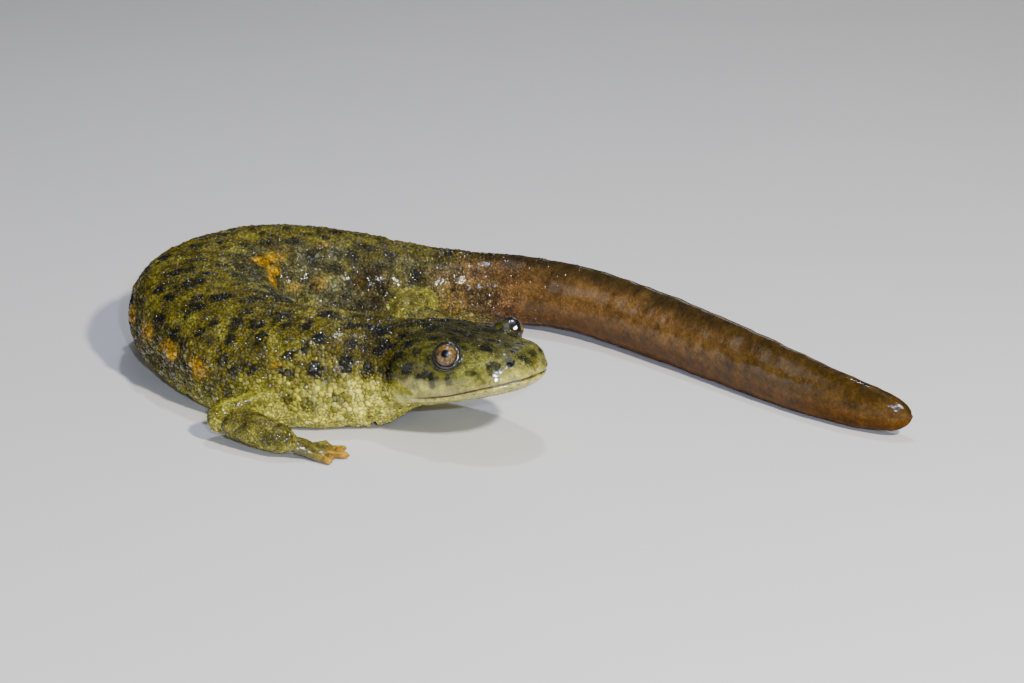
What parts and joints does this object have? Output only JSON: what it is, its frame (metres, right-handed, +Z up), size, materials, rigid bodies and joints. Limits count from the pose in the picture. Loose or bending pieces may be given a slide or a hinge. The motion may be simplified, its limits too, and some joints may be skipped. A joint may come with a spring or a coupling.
{
  "type": "sharp-ribbed newt salamander model",
  "caption": "Life-size still model of an adult sharp-ribbed newt at rest, body curled round in a C and tail swept forward, for display.",
  "frame": {"origin": "middle of the model's plan, on the floor it lies on", "axes": "+Z up, +X along the longest extent towards the side the snout and the tail tip point to, +Y from the head across to the hips"},
  "size_m": [0.138, 0.1044, 0.0195],
  "materials": {
    "olive_skin": "moist granular hide, yellow-olive with black blotches and orange warts along the flanks",
    "throat_skin": "moist pale yellow-olive skin of jaw and throat",
    "tail_skin": "moist smoother hide, orange-brown with an olive upper edge",
    "foot_skin": "moist skin with translucent orange-brown toes",
    "eye": "glossy eye, copper iris flecked dark, round black pupil"
  },
  "bodies": {
    "root": {"head": "olive_skin", "neck": "olive_skin", "trunk_front": "olive_skin", "trunk_middle": "olive_skin", "trunk_rear": "olive_skin", "pelvis": "olive_skin", "foreleg_left_upper": "olive_skin", "foreleg_left_lower": "olive_skin", "foreleg_right_upper": "olive_skin", "foreleg_right_lower": "olive_skin", "hindleg_left_upper": "olive_skin", "hindleg_left_lower": "olive_skin", "hindleg_right_upper": "olive_skin", "hindleg_right_lower": "olive_skin", "lower_jaw": "throat_skin", "tail_base": "tail_skin", "tail_middle": "tail_skin", "tail_tip": "tail_skin", "foreleg_left_foot": "foot_skin", "foreleg_right_foot": "foot_skin", "hindleg_left_foot": "foot_skin", "hindleg_right_foot": "foot_skin", "eye_left": "eye", "eye_right": "eye"}
  },
  "joints": []
}
